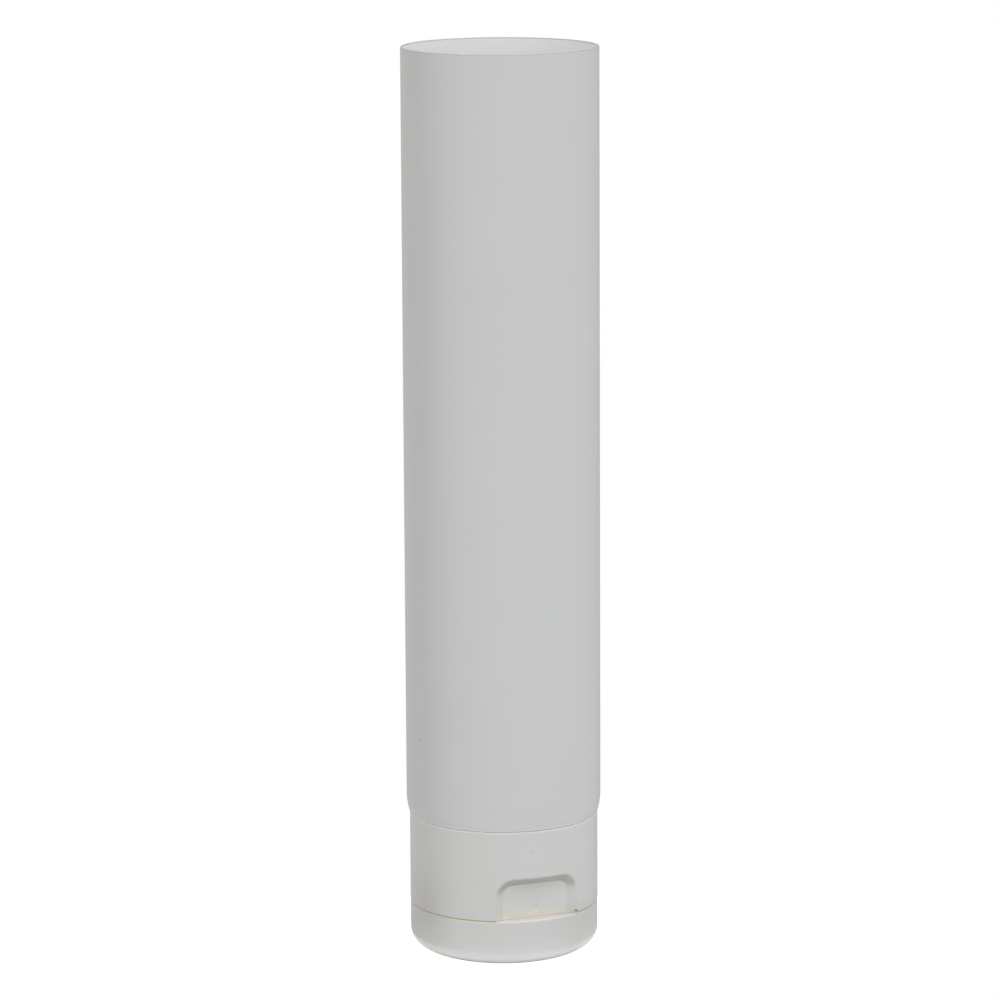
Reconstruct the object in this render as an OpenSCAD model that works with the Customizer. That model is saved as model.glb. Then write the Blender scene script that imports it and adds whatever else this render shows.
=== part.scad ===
// Lotion tube standing on its flip-top cap, filling end open.
// Millimetres. Origin at the middle of the lid's base, +Z up, thumb recess at -Y, hinge at +Y.

/* [Tube] */
// Outer diameter of the sleeve
tube_d = 40; // [34:0.5:50]
// Length of sleeve above the cap
sleeve_l = 157.6; // [90:0.2:200]
// Thickness of the sleeve wall
sleeve_wall = 0.5; // [0.35:0.05:0.8]
// Height over which the sleeve's foot curves in to the cap
foot_h = 4; // [2.5:0.1:6]
// Thickness of the moulded shoulder
shoulder_wall = 1.2; // [0.9:0.1:1.6]
// Slope of the shoulder in degrees
shoulder_slope = 29; // [20:1:32]

/* [Neck] */
// Outer diameter of the neck
neck_d = 18.4; // [15:0.2:20]
// Thickness of the neck wall
neck_wall = 1.8; // [1.2:0.1:2.2]
// How far the snap bead stands out of the neck
neck_bead = 0.45; // [0.3:0.05:0.6]

/* [Cap] */
// How far the cap's side stands in from the sleeve's side
cap_inset = 0.65; // [0.4:0.05:1.2]
// Height of the cap's body above the lid
cap_body_h = 18.8; // [17:0.2:26]
// Height of the lid
lid_h = 10; // [8.5:0.1:13]
// Thickness of the cap's walls
cap_wall = 1.3; // [1:0.05:1.6]
// Thickness of the deck across the cap's body
deck_t = 1.4; // [1:0.1:2]
// Thickness of the lid's base
lid_base_t = 1.4; // [1:0.1:2]
// Radius of the lid's base edge at its side
lid_edge_r = 2.8; // [2:0.1:3.4]
// Radius of the softer curve that runs on under the edge
lid_sole_r = 6.6; // [5:0.1:8]
// Radius on the rims at the seams
rim_r = 0.4; // [0.2:0.05:0.5]

/* [Orifice] */
// Diameter of the dispensing hole
orifice_d = 4; // [2.5:0.1:5]
// How far the spout stands below the deck
spout_h = 2.5; // [1.8:0.1:3]
// Diameter of the spout
spout_d = 8.4; // [7.4:0.1:10]
// How far the lid's plug reaches into the hole
plug_l = 1.8; // [1:0.1:2]

/* [Snap rim] */
// Height of the collar that the lid snaps over
collar_h = 1.8; // [1.4:0.1:2.2]
// Thickness of the collar
collar_wall = 1.4; // [1:0.1:1.8]
// Number of ribs that carry the tube's shoulder
rib_count = 8; // [4:2:12]

/* [Thumb recess] */
// Width of the recess at the cap's surface
recess_w = 18; // [12:0.2:20]
// Height of the recess above the seam
recess_h = 8.8; // [6:0.1:10]
// Depth of the recess at its middle
recess_depth = 3; // [2.6:0.1:3.6]
// Width of the slope round the recess
recess_slope = 1.9; // [1.2:0.1:2.2]
// Corner radius of the recess at the cap's surface
recess_corner = 3.4; // [2.4:0.1:4.4]

/* [Hinge] */
// Width of the living hinge
hinge_w = 11; // [7:0.5:14]
// Thickness of the hinge film
film_t = 0.3; // [0.2:0.05:0.4]
// Inner radius of the film's bend
film_bend = 0.25; // [0.15:0.05:0.4]

/* [Fits] */
// Gap between the lid and the cap's body
lid_gap = 0.2; // [0.1:0.05:0.3]
// Gap between the sleeve's foot and the cap
foot_gap = 0.12; // [0.05:0.01:0.2]
// Clearance round the neck, the seal ring and the shoulder
neck_gap = 0.1; // [0.05:0.01:0.15]
// Clearance round the snap collar and the shelf
snap_gap = 0.3; // [0.2:0.05:0.4]

/* [Hidden] */
$fn = 96;

// Radii and levels that the pieces share
tube_r = tube_d / 2;
cap_r = tube_r - cap_inset;
cap_d = 2 * cap_r;
cap_in_r = cap_r - cap_wall;
seam_z = lid_h;
cap_top = lid_h + cap_body_h;
tube_top = cap_top + sleeve_l;
body_low = seam_z + lid_gap / 2;
lid_top = seam_z - lid_gap / 2;
deck_top = body_low + deck_t;
revolve_reach = 3 * tube_r;

// The foot is an arc that is upright at its top and flush with the cap's rim at its end
foot_flush = 0.05;
foot_in = tube_r - cap_r - foot_flush;
foot_rho = (foot_h ^ 2 + foot_in ^ 2) / (2 * foot_in);
foot_z = cap_top + foot_gap;
weld_gap = 0.04;
heel_wall = 1;

// The shoulder is a cone between the heel and the neck
neck_r = neck_d / 2;
bore_r = neck_r - neck_wall;
shoulder_r = cap_in_r - 3 * neck_gap;
neck_low = deck_top + neck_gap;
neck_root = foot_z - (shoulder_r - neck_r) * tan(shoulder_slope);
bead_z = (neck_low + neck_root) / 2;
bead_round = 0.9;

// The socket takes the neck, and the seal ring stands in the neck's bore
socket_in = neck_r + neck_gap;
socket_wall = 1.2;
socket_lip = 0.8;
socket_top = neck_root - socket_wall * tan(shoulder_slope) - socket_lip;
seal_wall = 0.8;
seal_h = 2.2;
rib_t = 0.9;
rib_depth = 1.8;
rib_in = cap_in_r - rib_depth;
rib_top = foot_z - (shoulder_r - rib_in) * tan(shoulder_slope) - neck_gap;

// Collar, shelf and the flat floor of the recess, measured from the cap's axis
collar_room = 0.7;
collar_r = cap_in_r - collar_room;
collar_in = collar_r - collar_wall;
bead_r = 0.4;
bead_out = 0.3;
floor_p = cap_r - recess_depth;
recess_wall = 1.2;
shelf_p = floor_p - recess_wall + snap_gap;
shelf_t = cap_wall;
collar_cut = shelf_p - snap_gap;
roof_pitch = 0.95;
floor_corner_share = 0.75;
recess_land = 0.12;
cut_over = 2;

// The lid's base edge is two arcs that meet at an angle in degrees
edge_turn = 47;
edge_z = lid_sole_r - (lid_sole_r - lid_edge_r) * sin(edge_turn);
sole_x = cap_r - lid_edge_r - (lid_sole_r - lid_edge_r) * cos(edge_turn);
edge_ease = 0.4;

// Plug on its hollow column
column_wall = 0.9;
column_r = orifice_d / 2 + column_wall;
plug_gap = 0.07;
plug_taper = 0.3;
plug_root = orifice_d / 2 - plug_gap;
plug_tip = plug_root - plug_taper;
column_top = body_low - spout_h - lid_gap / 2;

// The joint's axis is the crease at the film's outermost line
film_r = film_bend + film_t;
crease_gap = 0.02;
pad_h = 2;
pad_ramp = 1.5;
pad_flare = 2.4;

// Half-plane strip in the profile plane, from one level to another
module band(low, high) {
    translate([0, low]) square([revolve_reach, high - low]);
}

// Profile of the curved foot between two radii measured inward from its outer face
module foot_arc(outer_in, inner_in, low, high) {
    intersection() {
        translate([tube_r - foot_rho, foot_z + foot_h]) difference() {
            circle(foot_rho - outer_in, $fn = 360);
            circle(foot_rho - inner_in, $fn = 360);
        }
        band(low, high);
    }
}

// Upright wall profile from an inner radius, a thickness and two levels
module wall_profile(inner, thick, low, high) {
    translate([inner, low]) square([thick, high - low]);
}

module tube_sleeve() {
    color("gainsboro") rotate_extrude() {
        foot_arc(0, sleeve_wall, foot_z, foot_z + foot_h);
        wall_profile(tube_r - sleeve_wall, sleeve_wall, foot_z + foot_h, tube_top);
    }
}

// Shoulder and neck, moulded in one and welded inside the sleeve's foot
module head_profile() {
    heel_out = sleeve_wall + weld_gap;
    foot_arc(heel_out, heel_out + heel_wall, foot_z, foot_z + foot_h);
    rise = shoulder_wall / cos(shoulder_slope);
    heel_mid = shoulder_r + heel_wall / 2;
    drop = (shoulder_r - bore_r) * tan(shoulder_slope);
    polygon([
        [bore_r, foot_z - drop],
        [shoulder_r, foot_z],
        [heel_mid, foot_z],
        [heel_mid, foot_z + rise],
        [shoulder_r, foot_z + rise],
        [bore_r, foot_z + rise - drop]
    ]);
    wall_profile(bore_r, neck_wall, neck_low, neck_root);
    bead_profile(0);
}

module tube_head() {
    color("whitesmoke") rotate_extrude() difference() {
        head_profile();
        translate([0, neck_low]) square([bore_r, neck_root - neck_low]);
    }
}

// Skirt with a rounded upper rim
module skirt_profile() {
    wall_profile(cap_in_r, cap_wall - rim_r, body_low, cap_top);
    wall_profile(cap_in_r, cap_wall, body_low, cap_top - rim_r);
    translate([cap_r - rim_r, cap_top - rim_r]) circle(rim_r);
}

// Round bead on the neck, grown by the room it is given in the socket
module bead_profile(room) {
    translate([neck_r - bead_round + neck_bead, bead_z]) circle(bead_round + room);
}

module body_profile() {
    skirt_profile();
    translate([0, body_low]) square([cap_in_r, deck_t]);
    difference() {
        wall_profile(socket_in, socket_wall, body_low, socket_top);
        bead_profile(neck_gap);
    }
    wall_profile(bore_r - neck_gap - seal_wall, seal_wall, body_low, deck_top + seal_h);
    wall_profile(collar_in, collar_wall, body_low - collar_h, body_low);
    translate([collar_r - bead_r + bead_out, body_low - collar_h + bead_r]) circle(bead_r);
    wall_profile(0, spout_d / 2, body_low - spout_h, body_low);
}

// Ribs between the deck and the tube's shoulder
module ribs() {
    for (i = [0:rib_count - 1])
        rotate(360 / rib_count * (i + 0.5))
            translate([rib_in, -rib_t / 2, body_low])
                cube([cap_in_r - rib_in + cap_wall / 2, rib_t, rib_top - body_low]);
}

// Inside wall behind the thumb recess, drawn from the side and run across the front
module recess_housing() {
    roof = seam_z + recess_h + recess_wall;
    intersection() {
        rotate([90, 0, -90]) translate([0, 0, -cap_r])
            linear_extrude(cap_d) polygon([
                [collar_cut, body_low],
                [collar_cut, roof - recess_slope - recess_wall],
                [collar_cut + recess_slope, roof],
                [cap_r, roof],
                [cap_r, body_low]
            ]);
        cylinder(r = cap_r - cap_wall / 2, h = roof + cut_over);
    }
}

// Outline of the recess on the cap's surface, drawn from the front
module recess_outline(low, top) {
    side = recess_w / 2 - recess_corner;
    translate([-recess_w / 2, low]) square([recess_w, top - recess_corner - low]);
    translate([-side, low]) square([2 * side, top - low]);
    for (x = [-side, side])
        translate([x, top - recess_corner])
            circle(recess_corner);
}

// Sloping roof of the recess, drawn from the side and run across it
module recess_roof(low, high) {
    reach = recess_depth + cut_over;
    rotate([90, 0, -90]) translate([0, 0, -recess_w])
        linear_extrude(2 * recess_w) polygon([
            [0, low],
            [0, high - floor_p * roof_pitch],
            [floor_p + reach, high + reach * roof_pitch],
            [floor_p + reach, low]
        ]);
}

// Flat floor of the recess with round inner corners that open out to the surface
module recess_flare(half, low, high, flare) {
    reach = recess_depth + cut_over;
    corner = recess_corner - floor_corner_share * recess_slope;
    intersection() {
        mirror([0, 1, 0]) translate([0, 0, low])
            linear_extrude(recess_h + 2 * cut_over) polygon([
                [-half, floor_p],
                [-half - reach * flare, floor_p + reach],
                [half + reach * flare, floor_p + reach],
                [half, floor_p]
            ]);
        union() {
            translate([corner - half, -floor_p - reach, low])
                cube([2 * (half - corner), floor_p + reach, recess_h + 2 * cut_over]);
            translate([-cap_r, -floor_p - reach, low])
                cube([cap_d, floor_p + reach, high - corner - low]);
            for (x = [corner - half, half - corner])
                translate([x, -floor_p, high - corner])
                    rotate([90, 0, 0])
                        cylinder(h = reach, r1 = corner, r2 = corner + reach * flare);
        }
    }
}

// Thumb recess: the pocket cut into the front of the body, with a low upright land at its sides
module recess_cutter() {
    low = body_low - cut_over;
    top = seam_z + recess_h;
    side_p = sqrt(cap_r ^ 2 - (recess_w / 2) ^ 2) - recess_land;
    flare = recess_slope / (side_p - floor_p);
    intersection() {
        rotate([90, 0, 0]) translate([0, 0, floor_p])
            linear_extrude(recess_depth + cut_over) recess_outline(low, top);
        recess_roof(low, top - recess_slope);
        recess_flare(recess_w / 2 - recess_slope, low, top - recess_slope, flare);
    }
}

// Flat pad that carries one half of the hinge film, above the seam when side is 1
module hinge_pad(side) {
    low = lid_gap / 2;
    tall = pad_h + pad_ramp;
    wide = hinge_w / 2 + pad_flare;
    wall_mid = cap_r - cap_wall / 2;
    foot_y = sqrt(cap_r ^ 2 - wide ^ 2);
    foot_in = sqrt(wall_mid ^ 2 - wide ^ 2);
    translate([0, 0, seam_z]) mirror([0, 0, side > 0 ? 0 : 1]) difference() {
        intersection() {
            linear_extrude(tall) polygon([
                [-wide, foot_y],
                [-hinge_w / 2, cap_r],
                [hinge_w / 2, cap_r],
                [wide, foot_y],
                [wide, foot_in],
                [-wide, foot_in]
            ]);
            rotate([90, 0, 90]) translate([0, 0, -cap_r])
                linear_extrude(cap_d) polygon([
                    [0, low],
                    [cap_r, low],
                    [cap_r, pad_h],
                    [foot_in, tall],
                    [0, tall]
                ]);
        }
        cylinder(r = wall_mid, h = tall);
    }
}

// Quarter of the bent film, from its pad to the crease
module film_half(side) {
    translate([0, 0, seam_z]) mirror([0, 0, side > 0 ? 0 : 1])
        rotate([90, 0, 90]) translate([0, 0, -hinge_w / 2])
            linear_extrude(hinge_w) intersection() {
                translate([cap_r, 0]) difference() {
                    circle(film_r);
                    circle(film_bend);
                }
                translate([cap_r, crease_gap / 2]) square(film_r);
            }
}

module cap_body() {
    color("white") {
        difference() {
            union() {
                rotate_extrude() body_profile();
                ribs();
                recess_housing();
                hinge_pad(1);
            }
            translate([0, 0, body_low - spout_h - cut_over])
                cylinder(d = orifice_d, h = spout_h + deck_t + 2 * cut_over);
            recess_cutter();
            shelf_room();
        }
        film_half(1);
    }
}

// Room under the recess housing for the lid's shelf
module shelf_room() {
    translate([-cap_r, -cap_r, body_low - collar_h - cut_over])
        cube([cap_d, cap_r - collar_cut, collar_h + cut_over]);
}

// Softer of the two arcs round the lid's base edge
module sole_profile() {
    reach = 2 * lid_sole_r;
    translate([sole_x, lid_sole_r]) intersection() {
        circle(lid_sole_r);
        polygon([
            [0, 0],
            [0, -reach],
            [reach * cos(edge_turn), -reach * sin(edge_turn)]
        ]);
    }
}

// Cup of the lid with a round base edge and a rounded rim
module lid_profile() {
    inner_edge = lid_edge_r + edge_ease;
    difference() {
        union() {
            square([sole_x, lid_top]);
            sole_profile();
            translate([cap_r - lid_edge_r, edge_z]) circle(lid_edge_r);
            translate([0, edge_z]) square([cap_r, lid_top - rim_r - edge_z]);
            translate([0, edge_z]) square([cap_r - rim_r, lid_top - edge_z]);
            translate([cap_r - rim_r, lid_top - rim_r]) circle(rim_r);
        }
        translate([0, lid_base_t]) square([cap_in_r - inner_edge, lid_top]);
        translate([0, lid_base_t + inner_edge]) square([cap_in_r, lid_top]);
        translate([cap_in_r - inner_edge, lid_base_t + inner_edge]) circle(inner_edge);
    }
    translate([cap_in_r + bead_r - bead_out, lid_top - 2 * bead_r]) circle(bead_r);
    wall_profile(orifice_d / 2, column_wall, 0, column_top);
}

// Tapered plug, a cup closed at its tip that stands on the column
module plug_profile() {
    root_in = plug_root - column_wall;
    polygon([
        [root_in, column_top - column_wall],
        [column_r, column_top - column_wall],
        [column_r, column_top],
        [plug_root, column_top],
        [plug_tip, column_top + plug_l],
        [0, column_top + plug_l],
        [0, column_top + plug_l - column_wall],
        [root_in, column_top + plug_l - column_wall]
    ]);
}

// Ledge that closes the recess from below
module lid_shelf() {
    intersection() {
        translate([0, 0, lid_top - shelf_t]) cylinder(r = cap_r - cap_wall / 2, h = shelf_t);
        translate([-cap_r, -cap_r, 0]) cube([cap_d, cap_r - shelf_p, lid_h]);
    }
}

module cap_lid() {
    color("white") {
        rotate_extrude() {
            lid_profile();
            plug_profile();
        }
        lid_shelf();
        hinge_pad(-1);
        film_half(-1);
    }
}

tube_sleeve();
tube_head();
cap_body();
cap_lid();
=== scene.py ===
import math

import bmesh
import bpy
from mathutils import Matrix, Vector


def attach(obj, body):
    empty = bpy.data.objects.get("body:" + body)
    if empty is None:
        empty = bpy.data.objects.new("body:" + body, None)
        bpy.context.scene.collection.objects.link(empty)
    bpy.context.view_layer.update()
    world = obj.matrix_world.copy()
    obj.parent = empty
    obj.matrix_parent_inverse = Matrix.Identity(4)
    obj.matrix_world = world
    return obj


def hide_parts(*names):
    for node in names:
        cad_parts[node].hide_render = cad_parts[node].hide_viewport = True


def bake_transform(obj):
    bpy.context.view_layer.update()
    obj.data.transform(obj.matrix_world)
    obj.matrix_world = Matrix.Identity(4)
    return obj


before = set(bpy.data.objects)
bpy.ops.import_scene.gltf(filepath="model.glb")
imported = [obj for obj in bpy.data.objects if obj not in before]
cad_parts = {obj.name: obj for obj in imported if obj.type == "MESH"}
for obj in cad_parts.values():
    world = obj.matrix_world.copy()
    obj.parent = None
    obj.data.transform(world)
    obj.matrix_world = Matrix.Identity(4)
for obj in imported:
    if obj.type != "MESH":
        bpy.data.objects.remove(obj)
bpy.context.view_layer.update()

# Camera
# A long lens looks a little down on the tube. It stands left of the thumb recess,
# so that the recess shows to the right of the tube's middle line.
mm = 0.001
camera_distance = 953.66 * mm
camera_height = 271.69 * mm
camera_lens = 171.05
camera_pitch = math.radians(10.572)
camera_roll = math.radians(-0.299)
camera_yaw = math.radians(-0.025)
recess_turn = math.radians(22.65)

look = Vector((
    math.sin(camera_yaw) * math.cos(camera_pitch),
    math.cos(camera_yaw) * math.cos(camera_pitch),
    -math.sin(camera_pitch),
))
level_right = Vector((math.cos(camera_yaw), -math.sin(camera_yaw), 0))
level_up = level_right.cross(look)
right = math.cos(camera_roll) * level_right + math.sin(camera_roll) * level_up
up = right.cross(look)
turn = Matrix.Rotation(-recess_turn, 4, "Z")
axes = Matrix((right, up, -look)).transposed().to_4x4()
camera = bpy.data.objects.new("camera", bpy.data.cameras.new("camera"))
bpy.context.scene.collection.objects.link(camera)
camera.data.lens = camera_lens
camera.data.sensor_width = 36
camera.data.sensor_fit = "HORIZONTAL"
camera.data.clip_start = 0.05
camera.data.clip_end = 20
camera.matrix_world = turn @ Matrix.Translation((0, -camera_distance, camera_height)) @ axes
bpy.context.scene.camera = camera

# Studio light
# White panels stand round the table, most of them in front, and the room's light from above is
# brighter. The left side has a gap between the panels and a warmer wall, and the wall behind is
# bright, which gives the edges of a glossy tube their strips.
ring_of_light = [
    (-180, 0.50), (-165, 0.58), (-150, 0.66), (-128, 0.55), (-112, 0.34), (-97, 0.24),
    (-84, 0.44), (-68, 0.68), (-50, 0.78), (-20, 0.80), (20, 0.81), (40, 0.785),
    (66, 0.75), (83, 0.80), (98, 0.78), (113, 0.68), (140, 0.50), (165, 0.46), (180, 0.50),
]
warm_left = (-160, -60)
warm_shift = (1.03, 1.0, 0.95)
overhead_light = [(-1.0, 1.0), (-0.45, 0.96), (0.0, 0.98), (0.4, 1.05), (0.75, 1.9), (1.0, 2.6)]


def fill_ramp(ramp, stops, low, high, warm=(0, 0)):
    """Puts grey stops on a colour ramp, from (place, strength) pairs between low and high. Those
    that lie within warm are a little warmer."""
    elements = ramp.elements
    while len(elements) > 1:
        elements.remove(elements[-1])
    for i, (place, strength) in enumerate(stops):
        position = (place - low) / (high - low)
        stop = elements[0] if i == 0 else elements.new(position)
        stop.position = position
        shift = warm_shift if warm[0] < place < warm[1] else (1, 1, 1)
        stop.color = (*(strength * share for share in shift), 1)


def math_node(tree, operation, first, second=None):
    """Math node whose inputs are sockets or numbers. Gives its output."""
    node = tree.nodes.new("ShaderNodeMath")
    node.operation = operation
    for socket, value in zip(node.inputs, (first, second)):
        if isinstance(value, bpy.types.NodeSocket):
            tree.links.new(value, socket)
        elif value is not None:
            socket.default_value = value
    return node.outputs[0]


world = bpy.data.worlds.new("studio")
bpy.context.scene.world = world
world.use_nodes = True
sky = world.node_tree
sky.nodes.clear()
direction = sky.nodes.new("ShaderNodeTexCoord")
to_camera = sky.nodes.new("ShaderNodeMapping")
to_camera.vector_type = "VECTOR"
to_camera.inputs["Rotation"].default_value = (0, 0, recess_turn)
sky.links.new(direction.outputs["Generated"], to_camera.inputs["Vector"])
parts = sky.nodes.new("ShaderNodeSeparateXYZ")
sky.links.new(to_camera.outputs["Vector"], parts.inputs[0])
away = math_node(sky, "MULTIPLY", parts.outputs["Y"], -1)
angle = math_node(sky, "ARCTAN2", parts.outputs["X"], away)
round_place = math_node(sky, "ADD", math_node(sky, "DIVIDE", angle, 2 * math.pi), 0.5)
ring = sky.nodes.new("ShaderNodeValToRGB")
fill_ramp(ring.color_ramp, ring_of_light, -180, 180, warm_left)
sky.links.new(round_place, ring.inputs[0])
height_place = math_node(sky, "ADD", math_node(sky, "MULTIPLY", parts.outputs["Z"], 0.5), 0.5)
dome = sky.nodes.new("ShaderNodeValToRGB")
fill_ramp(dome.color_ramp, overhead_light, -1, 1)
sky.links.new(height_place, dome.inputs[0])
panels = sky.nodes.new("ShaderNodeBackground")
sky.links.new(ring.outputs[0], panels.inputs["Color"])
sky.links.new(dome.outputs[0], panels.inputs["Strength"])
backdrop = sky.nodes.new("ShaderNodeBackground")
backdrop.inputs["Color"].default_value = (1, 1, 1, 1)
backdrop.inputs["Strength"].default_value = 1
rays = sky.nodes.new("ShaderNodeLightPath")
sky_mix = sky.nodes.new("ShaderNodeMixShader")
seen = math_node(sky, "MAXIMUM", rays.outputs["Is Camera Ray"], rays.outputs["Is Transmission Ray"])
sky.links.new(seen, sky_mix.inputs[0])
sky.links.new(panels.outputs[0], sky_mix.inputs[1])
sky.links.new(backdrop.outputs[0], sky_mix.inputs[2])
sky_out = sky.nodes.new("ShaderNodeOutputWorld")
sky.links.new(sky_mix.outputs[0], sky_out.inputs[0])

# Table
# A round of white board under the tube, with a ring of light round the tube's foot, as a light
# table has. It takes the tube's shadow and sends light back under the lid's round base edge.
table_radius = 42 * mm
foot_light = [(0, 0.0), (15, 0.0), (17.5, 0.3), (20, 0.7), (23, 0.7), (26, 0.0), (42, 0.0)]
board_grey = 0.55
board_shine = 1.0
board = bpy.data.meshes.new("table")
rim = bmesh.new()
bmesh.ops.create_circle(rim, cap_ends=True, segments=96, radius=table_radius)
rim.to_mesh(board)
rim.free()
table = bpy.data.objects.new("table", board)
bpy.context.scene.collection.objects.link(table)
board_paint = bpy.data.materials.new("white_board")
board_paint.use_nodes = True
paint = board_paint.node_tree
paint.nodes.clear()
matt = paint.nodes.new("ShaderNodeBsdfDiffuse")
matt.inputs["Color"].default_value = (board_grey, board_grey, board_grey, 1)
glow = paint.nodes.new("ShaderNodeEmission")
paint_rays = paint.nodes.new("ShaderNodeLightPath")
board_place = paint.nodes.new("ShaderNodeTexCoord")
board_reach = paint.nodes.new("ShaderNodeVectorMath")
board_reach.operation = "LENGTH"
paint.links.new(board_place.outputs["Object"], board_reach.inputs[0])
lit_foot = paint.nodes.new("ShaderNodeValToRGB")
fill_ramp(lit_foot.color_ramp, foot_light, 0, table_radius / mm)
board_share = math_node(paint, "DIVIDE", board_reach.outputs["Value"], table_radius)
paint.links.new(board_share, lit_foot.inputs[0])
board_white = math_node(paint, "MULTIPLY", paint_rays.outputs["Is Camera Ray"], board_shine)
glow_seen = math_node(paint, "ADD", board_white, lit_foot.outputs[0])
paint.links.new(glow_seen, glow.inputs["Strength"])
both = paint.nodes.new("ShaderNodeAddShader")
paint.links.new(matt.outputs[0], both.inputs[0])
paint.links.new(glow.outputs[0], both.inputs[1])
paint_out = paint.nodes.new("ShaderNodeOutputMaterial")
paint.links.new(both.outputs[0], paint_out.inputs["Surface"])
board_paint.cycles.emission_sampling = "NONE"
board.materials.append(board_paint)

# Tube sleeve
# One thin round wall of white polyethylene, drawn as an endless tube and cut to length.
# Its foot curves in to the cap's diameter, and its upper end is open for filling.
tube_r = 20 * mm
tube_top = 186.4 * mm
sleeve_wall = 0.5 * mm
foot_z = 28.83 * mm
foot_h = 4 * mm
foot_rho = 13.633 * mm
round_steps = 256


def arc(centre_r, centre_z, radius, start, end, steps):
    """Points (radius, height) on an arc in the section plane, angles in degrees."""
    points = []
    for i in range(steps + 1):
        t = math.radians(start + (end - start) * i / steps)
        points.append((centre_r + radius * math.cos(t), centre_z + radius * math.sin(t)))
    return points


def rounded(corners, steps=5, edge_share=0.45):
    """Closed outline from (radius, height, fillet) corners, with a curve in place of each filleted
    one. A fillet takes up at most edge_share of the edges next to it."""
    outline = []
    for i, (r, z, fillet) in enumerate(corners):
        here = Vector((r, z))
        if fillet == 0:
            outline.append((r, z))
            continue
        before = Vector(corners[i - 1][:2]) - here
        after = Vector(corners[(i + 1) % len(corners)][:2]) - here
        half = before.angle(after) / 2
        reach = min(fillet / math.tan(half), edge_share * before.length, edge_share * after.length)
        start = here + before.normalized() * reach
        end = here + after.normalized() * reach
        for k in range(steps + 1):
            t = k / steps
            point = (1 - t) ** 2 * start + 2 * t * (1 - t) * here + t ** 2 * end
            outline.append(tuple(point))
    return outline


def solid(name, points, faces):
    """Object from points and faces, with its doubled points joined and its faces outwards."""
    mesh = bpy.data.meshes.new(name)
    mesh.from_pydata(points, [], faces)
    shape = bmesh.new()
    shape.from_mesh(mesh)
    bmesh.ops.remove_doubles(shape, verts=shape.verts, dist=1e-7)
    bmesh.ops.dissolve_degenerate(shape, edges=shape.edges, dist=1e-8)
    bmesh.ops.recalc_face_normals(shape, faces=shape.faces)
    shape.to_mesh(mesh)
    shape.free()
    piece = bpy.data.objects.new(name, mesh)
    bpy.context.scene.collection.objects.link(piece)
    return piece


def turned(name, section, angles, full=True):
    """Solid swept round the tube's axis. section(angle) gives its closed outline as (radius, height)
    pairs, and angle 0 points at the thumb recess."""
    points = []
    for a in angles:
        points += [(r * math.sin(a), -r * math.cos(a), z) for r, z in section(a)]
    count = len(points) // len(angles)
    faces = []
    for i in range(len(angles) if full else len(angles) - 1):
        here = i * count
        there = (i + 1) % len(angles) * count
        for k in range(count):
            n = (k + 1) % count
            faces.append((here + k, there + k, there + n, here + n))
    if not full:
        faces.append(tuple(range(count)))
        faces.append(tuple(reversed(range(len(points) - count, len(points)))))
    return solid(name, points, faces)


def all_round(steps):
    """Even angles of a full turn."""
    return [2 * math.pi * i / steps for i in range(steps)]


def joined(pieces, name, sharp_angle=math.radians(38)):
    """Joins pieces into one smooth object. Corners above sharp_angle stay sharp, and its faces'
    normals are weighted by their size."""
    shape = bmesh.new()
    for piece in pieces:
        shape.from_mesh(piece.data)
    for line in shape.edges:
        line.smooth = line.calc_face_angle(math.pi) < sharp_angle
    for face in shape.faces:
        face.smooth = True
    mesh = bpy.data.meshes.new(name)
    shape.to_mesh(mesh)
    shape.free()
    for piece in pieces:
        bpy.data.objects.remove(piece)
    whole = bpy.data.objects.new(name, mesh)
    bpy.context.scene.collection.objects.link(whole)
    even = whole.modifiers.new("even_normals", "WEIGHTED_NORMAL")
    even.weight = 80
    even.keep_sharp = True
    return whole


foot_centre = tube_r - foot_rho
foot_angle = math.degrees(math.asin(foot_h / foot_rho))
inner_rho = foot_rho - sleeve_wall
inner_angle = math.degrees(math.asin(foot_h / inner_rho))
rim_round = 0.22 * mm
wall_steps = 24
straight_z = foot_z + foot_h
sleeve_outline = arc(foot_centre, straight_z, foot_rho, -foot_angle, 0, steps=10)
for step in range(1, wall_steps):
    sleeve_outline.append((tube_r, straight_z + (tube_top - rim_round - straight_z) * step / wall_steps))
sleeve_outline += arc(tube_r - rim_round, tube_top - rim_round, rim_round, 0, 90, steps=5)
sleeve_outline += arc(tube_r - sleeve_wall + rim_round, tube_top - rim_round, rim_round, 90, 180, steps=5)
for step in range(1, wall_steps):
    inner_z = tube_top - rim_round + (straight_z - tube_top + rim_round) * step / wall_steps
    sleeve_outline.append((tube_r - sleeve_wall, inner_z))
sleeve_outline += arc(foot_centre, straight_z, inner_rho, 0, -inner_angle, steps=10)
sleeve = joined([turned("sleeve_wall", lambda a: sleeve_outline, all_round(round_steps))], "sleeve")

# The skin that every moulded or extruded face shares: a faint mottle in its colour and the
# orange peel that polished plastic keeps. It gives a mask and a normal.
skin = bpy.data.node_groups.new("plastic_skin", "ShaderNodeTree")
for label, default in (("Mottle Size", 90.0), ("Peel Size", 700.0), ("Peel Depth", 0.02)):
    skin.interface.new_socket(label, in_out="INPUT", socket_type="NodeSocketFloat").default_value = default
skin.interface.new_socket("Mottle", in_out="OUTPUT", socket_type="NodeSocketFloat")
skin.interface.new_socket("Normal", in_out="OUTPUT", socket_type="NodeSocketVector")
skin_in = skin.nodes.new("NodeGroupInput")
skin_out = skin.nodes.new("NodeGroupOutput")
skin_place = skin.nodes.new("ShaderNodeTexCoord")
mottle = skin.nodes.new("ShaderNodeTexNoise")
mottle.inputs["Detail"].default_value = 3
skin.links.new(skin_place.outputs["Object"], mottle.inputs["Vector"])
skin.links.new(skin_in.outputs["Mottle Size"], mottle.inputs["Scale"])
skin.links.new(mottle.outputs[0], skin_out.inputs["Mottle"])
peel = skin.nodes.new("ShaderNodeTexNoise")
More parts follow.
